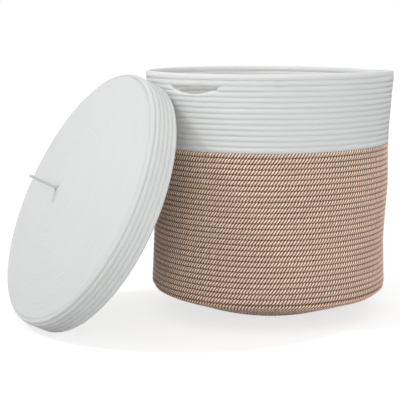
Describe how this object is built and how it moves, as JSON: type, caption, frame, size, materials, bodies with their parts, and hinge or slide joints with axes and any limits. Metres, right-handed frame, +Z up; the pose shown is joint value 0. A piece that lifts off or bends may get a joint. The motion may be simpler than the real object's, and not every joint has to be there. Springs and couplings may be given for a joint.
{
  "type": "lidded storage basket",
  "caption": "Round coiled-rope storage basket in brown and white, two hand slots under the rim, with a domed cap lid that leans on it and lifts away by its cord loop.",
  "frame": {"origin": "on the floor, under the middle of the basket's base", "axes": "+Z up through the basket, -Y towards the viewer of the picture, +X to the viewer's right; the lid leans at -X, -Y"},
  "size_m": [0.6225, 0.5273, 0.3907],
  "materials": {
    "brown_rope": "twisted two-tone brown and cream rope, matte",
    "white_rope": "braided off-white cotton rope, matte",
    "lid_rope": "braided off-white cotton rope, matte",
    "loop_cord": "thin off-white cotton cord, matte"
  },
  "bodies": {
    "basket": {"base_coil": "brown_rope", "brown_wall_coil": "brown_rope", "white_wall_coil": "white_rope", "rim_coil": "white_rope"},
    "lid": {"lid_crown_coil": "lid_rope", "lid_skirt_coil": "lid_rope", "lid_loop": "loop_cord", "lid_loop_knot": "loop_cord"}
  },
  "joints": [
    {"name": "lid_lift", "type": "slide", "parent": "basket", "child": "lid", "axis": [-0.7727, -0.4515, 0.4462], "range_m": [0, 0.3]}
  ]
}
